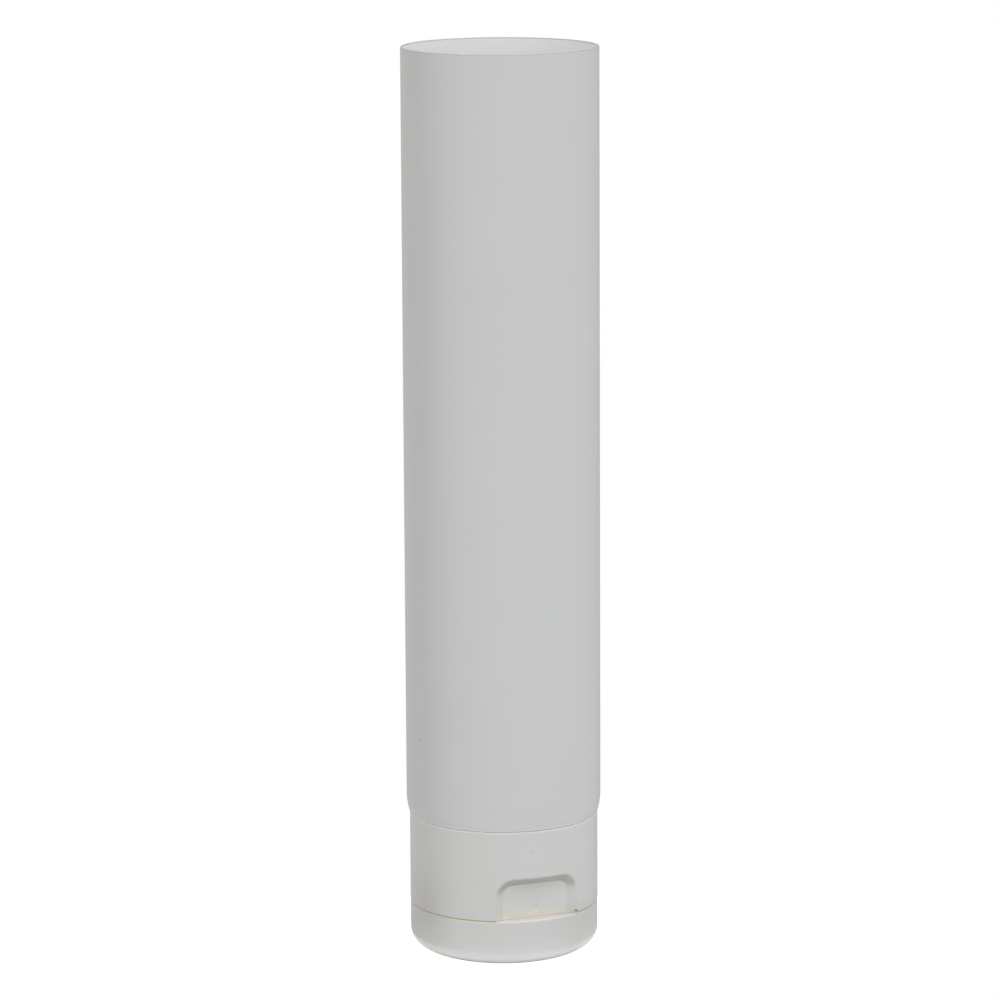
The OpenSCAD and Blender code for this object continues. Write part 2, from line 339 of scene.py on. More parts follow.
peel.inputs["Detail"].default_value = 2
skin.links.new(skin_place.outputs["Object"], peel.inputs["Vector"])
skin.links.new(skin_in.outputs["Peel Size"], peel.inputs["Scale"])
peel_bump = skin.nodes.new("ShaderNodeBump")
peel_bump.inputs["Distance"].default_value = 1 * mm
skin.links.new(skin_in.outputs["Peel Depth"], peel_bump.inputs["Strength"])
skin.links.new(peel.outputs[0], peel_bump.inputs["Height"])
skin.links.new(peel_bump.outputs[0], skin_out.inputs["Normal"])

# A ragged spot at one place on a piece, for specks of dried lotion and dirt and for one spot of painted
# shade. It gives a mask.
speck = bpy.data.node_groups.new("ragged_spot", "ShaderNodeTree")
speck.interface.new_socket("Place", in_out="INPUT", socket_type="NodeSocketVector")
speck.interface.new_socket("Size", in_out="INPUT", socket_type="NodeSocketVector")
speck.interface.new_socket("Ragged", in_out="INPUT", socket_type="NodeSocketFloat")
speck.interface.new_socket("Mask", in_out="OUTPUT", socket_type="NodeSocketFloat")
speck_in = speck.nodes.new("NodeGroupInput")
speck_out = speck.nodes.new("NodeGroupOutput")
speck_place = speck.nodes.new("ShaderNodeTexCoord")
speck_offset = speck.nodes.new("ShaderNodeVectorMath")
speck_offset.operation = "SUBTRACT"
speck.links.new(speck_place.outputs["Object"], speck_offset.inputs[0])
speck.links.new(speck_in.outputs["Place"], speck_offset.inputs[1])
speck_share = speck.nodes.new("ShaderNodeVectorMath")
speck_share.operation = "DIVIDE"
speck.links.new(speck_offset.outputs[0], speck_share.inputs[0])
speck.links.new(speck_in.outputs["Size"], speck_share.inputs[1])
speck_length = speck.nodes.new("ShaderNodeVectorMath")
speck_length.operation = "LENGTH"
speck.links.new(speck_share.outputs[0], speck_length.inputs[0])
speck_grain = speck.nodes.new("ShaderNodeTexNoise")
speck_grain.inputs["Scale"].default_value = 2200
speck.links.new(speck_place.outputs["Object"], speck_grain.inputs["Vector"])
speck_rag = math_node(speck, "MULTIPLY", speck_grain.outputs[0], speck_in.outputs["Ragged"])
speck_edge = math_node(speck, "ADD", speck_length.outputs["Value"], speck_rag)
speck_mask = speck.nodes.new("ShaderNodeMapRange")
speck_mask.interpolation_type = "SMOOTHSTEP"
speck_mask.inputs["From Min"].default_value = 1.0
speck_mask.inputs["From Max"].default_value = 0.4
speck.links.new(speck_edge, speck_mask.inputs["Value"])
speck.links.new(speck_mask.outputs[0], speck_out.inputs[0])


def plastic(name, dark, light, roughness):
    """Moulded plastic with the shared skin, between two close colours. Gives material and colour."""
    material = bpy.data.materials.new(name)
    material.use_nodes = True
    tree = material.node_tree
    shader = tree.nodes["Principled BSDF"]
    shader.inputs["Roughness"].default_value = roughness
    shader.inputs["IOR"].default_value = 1.5
    group = tree.nodes.new("ShaderNodeGroup")
    group.node_tree = skin
    blend = tree.nodes.new("ShaderNodeMix")
    blend.data_type = "RGBA"
    blend.inputs["A"].default_value = (*dark, 1)
    blend.inputs["B"].default_value = (*light, 1)
    tree.links.new(group.outputs["Mottle"], blend.inputs["Factor"])
    tree.links.new(blend.outputs["Result"], shader.inputs["Base Color"])
    tree.links.new(group.outputs["Normal"], shader.inputs["Normal"])
    return material, blend.outputs["Result"]


def tinted(material, colour, mask, tint):
    """Lays a tint over a material's colour where the mask is 1. Gives the new colour."""
    tree = material.node_tree
    layer = tree.nodes.new("ShaderNodeMix")
    layer.data_type = "RGBA"
    tree.links.new(mask, layer.inputs["Factor"])
    tree.links.new(colour, layer.inputs["A"])
    layer.inputs["B"].default_value = (*tint, 1)
    tree.links.new(layer.outputs["Result"], tree.nodes["Principled BSDF"].inputs["Base Color"])
    return layer.outputs["Result"]


def ramp_mask(tree, value, start, end):
    """Mask that goes smoothly from 0 at start to 1 at end."""
    node = tree.nodes.new("ShaderNodeMapRange")
    node.interpolation_type = "SMOOTHSTEP"
    node.inputs["From Min"].default_value = start
    node.inputs["From Max"].default_value = end
    tree.links.new(value, node.inputs["Value"])
    return node.outputs[0]


def product(tree, *masks):
    """Product of masks, which are sockets or plain shares."""
    whole = masks[0]
    for mask in masks[1:]:
        whole = math_node(tree, "MULTIPLY", whole, mask)
    return whole


def spot_mask(tree, place, size, ragged=0.5):
    """Mask of one ragged spot, at a place and of a size in millimetres."""
    node = tree.nodes.new("ShaderNodeGroup")
    node.node_tree = speck
    node.inputs["Place"].default_value = [v * mm for v in place]
    node.inputs["Size"].default_value = [v * mm for v in size]
    node.inputs["Ragged"].default_value = ragged
    return node.outputs[0]


def piece_coordinates(tree):
    """Outputs for x, y, z and the distance from the tube's axis, in metres."""
    place = tree.nodes.new("ShaderNodeTexCoord")
    split = tree.nodes.new("ShaderNodeSeparateXYZ")
    tree.links.new(place.outputs["Object"], split.inputs[0])
    flat = tree.nodes.new("ShaderNodeVectorMath")
    flat.operation = "MULTIPLY"
    flat.inputs[1].default_value = (1, 1, 0)
    tree.links.new(place.outputs["Object"], flat.inputs[0])
    radius = tree.nodes.new("ShaderNodeVectorMath")
    radius.operation = "LENGTH"
    tree.links.new(flat.outputs[0], radius.inputs[0])
    return split.outputs["X"], split.outputs["Y"], split.outputs["Z"], radius.outputs["Value"]


# The inside of the thin wall is painted paler, as painted light that comes through it from all round. Its
# cut upper edge is painted darker, its foot's curve and lowest edge are painted paler as painted light
# against their shade, and two specks of dirt are on the outside.
sleeve_plastic, sleeve_colour = plastic(
    "sleeve_plastic", dark=(0.604, 0.609, 0.616), light=(0.626, 0.631, 0.640), roughness=0.24)
sleeve_nodes = sleeve_plastic.node_tree
_, _, sleeve_z, sleeve_radius = piece_coordinates(sleeve_nodes)
# Painted light: the inside of the wall is painted much paler.
inner_face = ramp_mask(sleeve_nodes, sleeve_radius, tube_r - 0.1 * mm, tube_r - 0.4 * mm)
above_foot = ramp_mask(sleeve_nodes, sleeve_z, straight_z, straight_z + foot_h)
inside = product(sleeve_nodes, inner_face, above_foot)
cut_edge = ramp_mask(sleeve_nodes, sleeve_z, tube_top - 0.3 * mm, tube_top - 0.1 * mm)
# Painted light: the foot's curve and lowest edge are painted paler against their shade.
foot_curve_painted_light = ramp_mask(sleeve_nodes, sleeve_z, straight_z, foot_z + 1.5 * mm)
foot_edge_painted_light = ramp_mask(sleeve_nodes, sleeve_z, foot_z + 0.6 * mm, foot_z + 0.1 * mm)
speck_low = spot_mask(sleeve_nodes, (-13.42, -14.83, 54.76), (0.35, 0.35, 0.3))
speck_left = spot_mask(sleeve_nodes, (-19.74, -3.23, 46.0), (0.3, 0.5, 0.4))
dirt_tint = (0.40, 0.40, 0.38)
sleeve_layers = [
    (inside, (0.92, 0.92, 0.925)),
    (cut_edge, (0.46, 0.46, 0.46)),
    (foot_curve_painted_light, (0.652, 0.657, 0.664)),
    (foot_edge_painted_light, (0.71, 0.71, 0.715)),
    (speck_low, dirt_tint),
    (speck_left, dirt_tint),
]
for layer_mask, layer_tint in sleeve_layers:
    sleeve_colour = tinted(sleeve_plastic, sleeve_colour, layer_mask, layer_tint)
sleeve.data.materials.append(sleeve_plastic)
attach(sleeve, "tube")
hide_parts("tube_sleeve")

# Tube head
# The shoulder and neck are moulded in one from polyethylene and welded inside the sleeve's foot.
# Only the shoulder's cone and the neck's mouth show, down the open end.
shoulder_wall = 1.2 * mm
shoulder_slope = math.radians(29)
shoulder_r = 17.75 * mm
neck_r = 9.2 * mm
bore_r = 7.4 * mm
neck_low = 11.6 * mm
bead_stand = 0.45 * mm
bead_round = 0.9 * mm
weld_gap = 0.04 * mm
heel_wall = 1 * mm
cone_rise = shoulder_wall / math.cos(shoulder_slope)
neck_root = foot_z - (shoulder_r - neck_r) * math.tan(shoulder_slope)
mouth_z = foot_z + cone_rise - (shoulder_r - bore_r) * math.tan(shoulder_slope)
bead_z = (neck_low + neck_root) / 2
heel_out = foot_rho - sleeve_wall - weld_gap
heel_in = heel_out - heel_wall
heel_drop = math.degrees(math.asin(foot_h / heel_out))
heel_share = 0.62
corner_out = 0.35 * mm
corner_up = 0.2 * mm
bead_half = math.degrees(math.acos((bead_round - bead_stand) / bead_round))
head_outline = arc(foot_centre, straight_z, heel_out, -heel_drop, 0, steps=8)
head_outline += arc(foot_centre, straight_z, heel_in, 0, -heel_drop * heel_share, steps=6)
head_outline += rounded([
    (shoulder_r + corner_out, foot_z + cone_rise + corner_up, 0),
    (bore_r, mouth_z, 0.4 * mm),
    (bore_r, neck_low, 0.15 * mm),
    (neck_r, neck_low, 0.3 * mm),
])
head_outline += arc(neck_r - bead_round + bead_stand, bead_z, bead_round, -bead_half, bead_half, steps=8)
head_outline += [(neck_r, neck_root), (shoulder_r, foot_z)]
head = joined([turned("head_wall", lambda a: head_outline, all_round(steps=192))], "head")
head_plastic, _ = plastic(
    "head_plastic", dark=(0.66, 0.66, 0.645), light=(0.69, 0.69, 0.68), roughness=0.35)
head.data.materials.append(head_plastic)
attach(head, "tube")
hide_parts("tube_head")

# Cap body
# The fixed half of the flip-top cap, injection moulded from polypropylene. Its skirt stands a
# little in from the sleeve, with a rounded rim at the top and the thumb recess at the seam.
cap_r = 19.35 * mm
cap_wall = 1.3 * mm
cap_in_r = cap_r - cap_wall
cap_top = 28.8 * mm
seam_z = 10 * mm
lid_gap = 0.06 * mm
body_low = seam_z + lid_gap / 2
lid_top = seam_z - lid_gap / 2
cap_rim = 0.4 * mm
seam_round = 0.16 * mm
recess_half = 9 * mm
recess_top = 18.8 * mm
recess_corner = 3.4 * mm
recess_slope = 1.9 * mm
floor_corner_share = 0.75
floor_corner = recess_corner - floor_corner_share * recess_slope
roof_pitch = 0.95
floor_p = 16.35 * mm
collar_cut = 15.15 * mm
housing_top = 20 * mm
fine_step = 0.13 * mm
floor_crease = 0.16 * mm
edge_steepness = 2.2
lip_round = 0.6 * mm
sunk_blend = 0.5 * mm
recess_turn_half = math.radians(36)
housing_turn_half = math.radians(40)
housing_lean = 0.62
face_passes = 6
face_limit = 1.1 * cap_r
recess_gap = 0.005 * mm
recess_edge = 0.03 * mm
rim_drop = 0.05 * mm
corner_steps = 4

# The cap's plastic is a little warmer than the sleeve's, and its thin upper rim is painted paler as a
# painted highlight. The recess is painted lighter against its shade, and its crease with the lid's ledge
# lighter still, as painted light. Old lotion has dried to a cream film in the foot of the recess, painted
# brighter and warmer there as painted light too; the seam is brown with dirt and painted lighter, a
# painted warm glow lies below it, and a spot of painted shade darkens the recess's lower right corner.
# Painted shade darkens the recess's roof and sides, and each side of the cap towards the seam.
cap_plastic, cap_colour = plastic(
    "cap_plastic", dark=(0.626, 0.628, 0.622), light=(0.648, 0.650, 0.645), roughness=0.2)
cap_nodes = cap_plastic.node_tree
cap_x, cap_y, cap_z, cap_out = piece_coordinates(cap_nodes)
cap_place = cap_nodes.nodes.new("ShaderNodeTexCoord").outputs["Object"]
film_noise = cap_nodes.nodes.new("ShaderNodeTexNoise")
film_noise.inputs["Scale"].default_value = 420
film_noise.inputs["Detail"].default_value = 3
cap_nodes.links.new(cap_place, film_noise.inputs["Vector"])
patchy = ramp_mask(cap_nodes, film_noise.outputs[0], 0.3, 0.6)
at_front = ramp_mask(cap_nodes, cap_y, -15.6 * mm, -16.1 * mm)
sunk = ramp_mask(cap_nodes, cap_out, cap_r - 0.05 * mm, cap_r - 0.3 * mm)
above_lid = ramp_mask(cap_nodes, cap_z, seam_z - 0.7 * mm, seam_z - 0.4 * mm)
in_recess = product(cap_nodes, at_front, sunk, above_lid)
low_down = ramp_mask(cap_nodes, cap_z, seam_z + 1.9 * mm, seam_z + 0.6 * mm)
# Dried lotion and painted light: the cream film also brightens and warms the foot of the recess.
cream_film_and_glow = product(cap_nodes, in_recess, low_down, patchy)
lower_half = ramp_mask(cap_nodes, cap_z, seam_z + 4 * mm, seam_z + 1.5 * mm)
# Lotion and painted light: the recess's lower half is painted lighter and a little yellow.
stale_lotion_and_light = product(cap_nodes, in_recess, lower_half)
floor_foot = ramp_mask(cap_nodes, cap_z, seam_z + 0.5 * mm, seam_z + 0.1 * mm)
# Painted light: the crease where the recess's floor meets the lid's ledge is painted lighter against its
# shade.
crease_painted_light = product(cap_nodes, in_recess, floor_foot, ramp_mask(cap_nodes, cap_z, lid_top, seam_z))

sideways = math_node(cap_nodes, "ABSOLUTE", cap_x)
beside_recess = ramp_mask(cap_nodes, sideways, 8 * mm, 9.5 * mm)
outermost = ramp_mask(cap_nodes, cap_out, cap_r - 1.7 * mm, cap_r - 1.4 * mm)
seam_low = ramp_mask(cap_nodes, cap_z, seam_z - 0.12 * mm, seam_z - 0.02 * mm)
seam_high = ramp_mask(cap_nodes, cap_z, seam_z + 0.2 * mm, seam_z + 0.08 * mm)
# Brown dirt in the seam beside the recess, painted lighter too as painted light against the gap's shade.
seam_brown_and_light = product(cap_nodes, beside_recess, outermost, seam_low, seam_high)
seam_glow_side = ramp_mask(cap_nodes, cap_x, -8.5 * mm, -9.5 * mm)
seam_glow_front = ramp_mask(cap_nodes, cap_y, -8 * mm, -13 * mm)
seam_glow_low = ramp_mask(cap_nodes, cap_z, seam_z - 0.9 * mm, seam_z - 0.3 * mm)
seam_glow_high = ramp_mask(cap_nodes, cap_z, seam_z + 0.02 * mm, seam_z - 0.05 * mm)
# Painted light: a warm yellow glow just below the seam, left of the recess.
seam_glow = product(cap_nodes, seam_glow_side, seam_glow_front, seam_glow_low, seam_glow_high)
# Painted highlight: the cap's thin upper rim is painted paler.
rim_highlight = ramp_mask(cap_nodes, cap_z, cap_top - 0.65 * mm, cap_top - 0.25 * mm)

to_left = cap_nodes.nodes.new("ShaderNodeVectorMath")
to_left.operation = "DOT_PRODUCT"
to_left.inputs[1].default_value = (-math.cos(recess_turn), math.sin(recess_turn), 0)
cap_nodes.links.new(cap_place, to_left.inputs[0])
left_side = ramp_mask(cap_nodes, to_left.outputs["Value"], 9 * mm, 17 * mm)
# Painted shade: the cap's left side is painted darker towards the seam, and its right side near the seam.
left_shade = product(cap_nodes, left_side, ramp_mask(cap_nodes, cap_z, 23 * mm, seam_z))
right_side = ramp_mask(cap_nodes, to_left.outputs["Value"], -7 * mm, -16 * mm)
right_shade = product(cap_nodes, right_side, ramp_mask(cap_nodes, cap_z, 14 * mm, 9 * mm))

past_side = math_node(cap_nodes, "SUBTRACT", sideways, recess_half - recess_slope - floor_corner)
past_top = math_node(cap_nodes, "SUBTRACT", cap_z, recess_top - recess_slope - floor_corner)
slope_place = cap_nodes.nodes.new("ShaderNodeCombineXYZ")
cap_nodes.links.new(math_node(cap_nodes, "MAXIMUM", past_side, 0), slope_place.inputs[0])
cap_nodes.links.new(math_node(cap_nodes, "MAXIMUM", past_top, 0), slope_place.inputs[2])
slope_length = cap_nodes.nodes.new("ShaderNodeVectorMath")
slope_length.operation = "LENGTH"
cap_nodes.links.new(slope_place.outputs[0], slope_length.inputs[0])
on_slope = ramp_mask(cap_nodes, slope_length.outputs["Value"], floor_corner, floor_corner + 0.12 * mm)
# Painted shade: the recess's sloping roof is painted dark, and its sloping sides a little darker.
near_roof = ramp_mask(cap_nodes, cap_z, recess_top - 4 * mm, recess_top - 1.8 * mm)
roof_shade_share = 0.62
side_shade_share = 0.14
recess_shade_depth = math_node(cap_nodes, "ADD", product(cap_nodes, near_roof, roof_shade_share), side_shade_share)
recess_shade = product(cap_nodes, on_slope, in_recess, recess_shade_depth)

# Each layer of the cap's colour has a mask, its greatest strength and its tint. Later layers lie
# over earlier ones.
side_shade_tint = (0.50, 0.49, 0.455)
cap_layers = [
    # Painted light: the recess is painted lighter against its shade.
    (in_recess, 0.6, (0.72, 0.72, 0.715)),
    (stale_lotion_and_light, 0.5, (0.70, 0.70, 0.655)),
    (cream_film_and_glow, 0.8, (0.80, 0.75, 0.66)),
    (crease_painted_light, 0.6, (0.92, 0.89, 0.82)),
    (seam_brown_and_light, 0.8, (0.72, 0.64, 0.49)),
    (seam_glow, 1, (0.68, 0.66, 0.55)),
    (rim_highlight, 1, (0.735, 0.735, 0.725)),
    (left_shade, 0.5, side_shade_tint),
    (right_shade, 0.35, side_shade_tint),
    (recess_shade, 1, (0.40, 0.40, 0.36)),
]
for layer_mask, strength, layer_tint in cap_layers:
    layer = product(cap_nodes, layer_mask, strength)
    cap_colour = tinted(cap_plastic, cap_colour, layer, layer_tint)

# Each spot has a place and a size in millimetres, and its colour. The first two lie in the recess's lower
# right corner: a yellow patch, and in it a dark spot of painted shade where the seam's gap opens.
speck_ragged = 0.35
cap_spots = [
    ((8.7, -16.9, 10.3), (1.7, 1.6, 0.6), (0.66, 0.60, 0.45)),
    # Painted shade: a dark spot where the seam's gap opens.
    ((8.9, -16.9, 10.45), (0.8, 1.2, 0.38), (0.27, 0.22, 0.13)),
    ((0.25, -16.3, 12.5), (0.55, 0.5, 0.25), (0.45, 0.45, 0.41)),
    ((-2.04, -19.19, 24.42), (0.35, 0.4, 0.3), (0.50, 0.49, 0.45)),
]
for speck_at, speck_size, speck_tint in cap_spots:
    dirt_and_shade_spot = spot_mask(cap_nodes, speck_at, speck_size, speck_ragged)
    cap_colour = tinted(cap_plastic, cap_colour, dirt_and_shade_spot, speck_tint)


def soft_max(a, b, width):
    """Larger of two lengths, with a rounded change from one to the other."""
    h = max(width - abs(a - b), 0) / width
    return max(a, b) + h * h * width / 4


def soft_min(a, b, width):
    """Smaller of two lengths, with a rounded change from one to the other."""
    return -soft_max(-a, -b, width)


def corner_distance(across, z, half, top, corner):
    """Distance outside a doorway shape with round upper corners, and how far up it points, 0 to 1."""
    out_x = abs(across) - half + corner
    out_z = z - top + corner
    if out_x > 0 and out_z > 0:
        reach = math.hypot(out_x, out_z)
        return reach - corner, (out_z / reach) ** 2
    return max(out_x, out_z) - corner, 1.0 if out_z > out_x else 0.0


def recess_face(across, z):
    """Distance of the recess's face from the cap's axis, measured straight out at its front."""
    side_p = math.sqrt(cap_r ** 2 - recess_half ** 2)
    side_flare = (side_p - floor_p) / recess_slope
    past_floor, upward = corner_distance(
        across, z, recess_half - recess_slope, recess_top - recess_slope, floor_corner)
    flare = side_flare + (1 / roof_pitch - side_flare) * upward
    face = floor_p + flare * soft_max(0, past_floor, floor_crease)
    outside, _ = corner_distance(across, z, recess_half, recess_top, recess_corner)
    surface = math.sqrt(cap_r ** 2 - min(abs(across), recess_half) ** 2)
    return soft_max(face, surface + edge_steepness * outside, lip_round)


def skirt_out(a, z):
    """Outer radius of the skirt at an angle from the recess's middle and a height."""
    turn_in = math.atan2(math.sin(a), math.cos(a))
    if abs(turn_in) > recess_turn_half:
        return cap_r
    radius = cap_r
    for _ in range(face_passes):
        face = recess_face(radius * math.sin(turn_in), z) / math.cos(turn_in)
        radius = min(face, face_limit)
    return soft_min(cap_r, radius, sunk_blend)


def skirt_in(a, z):
    """Inner radius of the skirt, with the housing's flat wall behind the recess."""
    turn_in = math.atan2(math.sin(a), math.cos(a))
    if abs(turn_in) > housing_turn_half:
        return cap_in_r
    lean = max(z - (recess_top - recess_slope), 0)
    wall = (collar_cut + lean * housing_lean) / math.cos(turn_in)
    if z > housing_top:
        wall = cap_in_r
    return min(cap_in_r, wall)


fine_margin = 1 * mm
upper_rows = 10
inner_stride = 3
fine_rows = int((recess_top + fine_margin - body_low - seam_round) / fine_step)
skirt_rows = [body_low + seam_round + fine_step * i for i in range(fine_rows + 1)]
row_top = skirt_rows[-1]
skirt_rows += [row_top + (cap_top - cap_rim - row_top) * i / upper_rows for i in range(1, upper_rows + 1)]


def skirt_section(a):
    """Closed outline of the skirt's wall at an angle."""
    low_r = skirt_out(a, body_low)
    sunk_in = min(max((cap_r - low_r) / sunk_blend, 0), 1)
    low_z = body_low - sunk_in * (lid_gap - recess_gap)
    corner = seam_round - sunk_in * (seam_round - recess_edge)
    outline = []
    for i in range(corner_steps):
        t = math.pi / 2 * i / corner_steps
        outline.append((low_r - corner * (1 - math.sin(t)), low_z + corner * (1 - math.cos(t))))
    outline += [(skirt_out(a, z), z) for z in skirt_rows]
    outline += arc(cap_r - cap_rim, cap_top - cap_rim, cap_rim, 10, 90, steps=8)
    outline += [(cap_in_r, cap_top - rim_drop)]
    outline += [(skirt_in(a, z), z) for z in reversed(skirt_rows[::inner_stride])]
    outline += [(skirt_in(a, body_low), body_low)]
    return outline


fine_half = math.radians(34)
fine_count = 236
skirt_angles = [-fine_half + 2 * fine_half * i / fine_count for i in range(fine_count + 1)]
coarse_count = 150
rest_of_turn = 2 * math.pi - 2 * fine_half
skirt_angles += [fine_half + rest_of_turn * i / coarse_count for i in range(1, coarse_count)]
skirt = turned("skirt", skirt_section, skirt_angles)

# The deck across the skirt carries the spout below it, and above it the socket that grips the
# neck and the ring that seals its bore.
deck_top = 11.5 * mm
orifice_r = 2 * mm
spout_r = 4.2 * mm
spout_low = 7.6 * mm
seal_r = 6.5 * mm
seal_wall = 0.8 * mm
seal_top = 13.7 * mm
socket_r = 9.3 * mm
socket_wall = 1.2 * mm
socket_top = 22.7 * mm
edge = 0.12 * mm
deck_root = cap_in_r + 0.4 * mm
deck_lift = 0.02 * mm
deck_sink = 0.6 * mm
front_cosine = 0.75
deck_outline = rounded([
    (orifice_r, spout_low, 0.2 * mm),
    (spout_r, spout_low, 0.35 * mm),
    (spout_r, body_low, 0.3 * mm),
    (deck_root, body_low + deck_lift, 0),
    (deck_root, deck_top, 0),
    (socket_r + socket_wall, deck_top, 0.2 * mm),
    (socket_r + socket_wall, socket_top, edge),
    (socket_r, socket_top, edge),
    (socket_r, deck_top, edge),
    (seal_r + seal_wall, deck_top, edge),
    (seal_r + seal_wall, seal_top, edge),
    (seal_r, seal_top, edge),
    (seal_r, deck_top, edge),
    (orifice_r, deck_top, 0.2 * mm),
], steps=4)


def deck_section(a):
    """Deck's outline, which ends inside the recess's wall at the front."""
    reach = (collar_cut + deck_sink) / math.cos(a) if math.cos(a) > front_cosine else cap_r
    return [(min(r, reach), z) for r, z in deck_outline]


deck = turned("deck", deck_section, all_round(steps=240))

# The snap collar runs round below the deck, and stops where the recess is.
collar_r = 17.35 * mm
collar_wall = 1.4 * mm
collar_h = 1.8 * mm
collar_low = body_low - collar_h
collar_top = body_low + 0.3 * mm
collar_steps = 200
cut_cosine = 0.5
bead_r = 0.4 * mm
bead_out = 0.3 * mm
collar_in = collar_r - collar_wall
collar_outline = [
    (collar_in, collar_top),
    (collar_in, collar_low + edge),
    (collar_in + edge, collar_low),
]
collar_outline += arc(collar_r - bead_r + bead_out, collar_low + bead_r, bead_r, -90, 60, steps=8)
collar_outline += [(collar_r, collar_low + 3 * bead_r), (collar_r, collar_top)]
collar_trim = 0.002
collar_start = math.acos(collar_cut / collar_in) + collar_trim


def collar_section(a):
    """Collar's outline, cut off flat beside the recess."""
    forward = math.cos(a)
    limit = collar_cut / forward if forward > cut_cosine else math.inf
    return [(max(min(r, limit), collar_in), z) for r, z in collar_outline]


collar_turn = 2 * math.pi - 2 * collar_start
collar_angles = [collar_start + collar_turn * i / collar_steps for i in range(collar_steps + 1)]
collar = turned("collar", collar_section, collar_angles, full=False)

# Eight ribs stand against the skirt and carry the tube's shoulder, six of them on the deck and
# two on the roof of the recess.
rib_count = 8
rib_t = 0.9 * mm
rib_in = 16.25 * mm
rib_top = 27.9 * mm
rib_sink = 0.3 * mm
front_ribs_y = -14 * mm
front_ribs_low = housing_top - 0.5 * mm
rib_tree = bpy.data.node_groups.new("ribs_round_the_skirt", "GeometryNodeTree")
rib_sockets = {}
for label, kind, default in (
    ("Ribs", "NodeSocketInt", rib_count),
    ("Ring Radius", "NodeSocketFloat", (rib_in + cap_in_r) / 2),
    ("Depth", "NodeSocketFloat", cap_in_r - rib_in + rib_sink),
    ("Thickness", "NodeSocketFloat", rib_t),
    ("Height", "NodeSocketFloat", rib_top - body_low),
):
    socket = rib_tree.interface.new_socket(label, in_out="INPUT", socket_type=kind)
    rib_sockets[label] = (socket.identifier, default)
rib_tree.interface.new_socket("Geometry", in_out="OUTPUT", socket_type="NodeSocketGeometry")
rib_in_node = rib_tree.nodes.new("NodeGroupInput")
rib_out_node = rib_tree.nodes.new("NodeGroupOutput")
rib_ring = rib_tree.nodes.new("GeometryNodeMeshCircle")
rib_tree.links.new(rib_in_node.outputs["Ribs"], rib_ring.inputs["Vertices"])
rib_tree.links.new(rib_in_node.outputs["Ring Radius"], rib_ring.inputs["Radius"])
rib_size = rib_tree.nodes.new("ShaderNodeCombineXYZ")
for axis, label in (("X", "Depth"), ("Y", "Thickness"), ("Z", "Height")):
    rib_tree.links.new(rib_in_node.outputs[label], rib_size.inputs[axis])
rib_block = rib_tree.nodes.new("GeometryNodeMeshCube")
rib_tree.links.new(rib_size.outputs[0], rib_block.inputs["Size"])
rib_index = rib_tree.nodes.new("GeometryNodeInputIndex")
rib_share = math_node(rib_tree, "DIVIDE", rib_index.outputs[0], rib_in_node.outputs["Ribs"])
rib_turn = math_node(rib_tree, "MULTIPLY", rib_share, 2 * math.pi)
rib_spin = rib_tree.nodes.new("ShaderNodeCombineXYZ")
rib_tree.links.new(rib_turn, rib_spin.inputs["Z"])
rib_place = rib_tree.nodes.new("GeometryNodeInstanceOnPoints")
rib_tree.links.new(rib_ring.outputs["Mesh"], rib_place.inputs["Points"])
rib_tree.links.new(rib_block.outputs["Mesh"], rib_place.inputs["Instance"])
rib_tree.links.new(rib_spin.outputs[0], rib_place.inputs["Rotation"])
rib_offset = rib_tree.nodes.new("GeometryNodeTransform")
rib_offset.inputs["Translation"].default_value = (0, 0, (rib_top + body_low) / 2)
rib_offset.inputs["Rotation"].default_value = (0, 0, math.pi / rib_count)
rib_real = rib_tree.nodes.new("GeometryNodeRealizeInstances")
rib_tree.links.new(rib_place.outputs[0], rib_real.inputs[0])
rib_tree.links.new(rib_real.outputs[0], rib_offset.inputs["Geometry"])
rib_finish = rib_tree.nodes.new("GeometryNodeSetMaterial")
rib_finish.inputs["Material"].default_value = cap_plastic
rib_tree.links.new(rib_offset.outputs[0], rib_finish.inputs["Geometry"])
rib_tree.links.new(rib_finish.outputs[0], rib_out_node.inputs[0])


def grown(name, tree, sockets):
    """Plain mesh object from a geometry tree, with its named inputs set."""
    holder = bpy.data.objects.new(name + "_holder", bpy.data.meshes.new(name + "_holder"))
    bpy.context.scene.collection.objects.link(holder)
    modifier = holder.modifiers.new("grow", "NODES")
    modifier.node_group = tree
    for identifier, value in sockets.values():
        modifier[identifier] = value
    ready = holder.evaluated_get(bpy.context.evaluated_depsgraph_get())
    mesh = bpy.data.meshes.new_from_object(ready)
    bpy.data.objects.remove(holder)
    piece = bpy.data.objects.new(name, mesh)
    bpy.context.scene.collection.objects.link(piece)
    return piece


ribs = grown("ribs", rib_tree, rib_sockets)
for corner in ribs.data.vertices:
    if corner.co.y < front_ribs_y and corner.co.z < deck_top:
        corner.co.z = front_ribs_low

# The hinge's pads are flats on the back of the cap, one on each side of the seam.
hinge_half = 5.5 * mm
pad_flare = 2.4 * mm
pad_h = 2 * mm
pad_ramp = 1.5 * mm
pad_steps = 79
pad_sink = 0.05 * mm
pad_gap = 0.02 * mm


def bridged(name, rings):
    """Solid between neighbouring rings of points, closed by its first and last ring."""
    count = len(rings[0])
    points = [point for ring in rings for point in ring]
    faces = [tuple(reversed(range(count))), tuple(range(len(points) - count, len(points)))]
    for start in range(0, len(points) - count, count):
        for k in range(count):
            n = (k + 1) % count
            faces.append((start + k, start + n, start + count + n, start + count + k))
    return solid(name, points, faces)


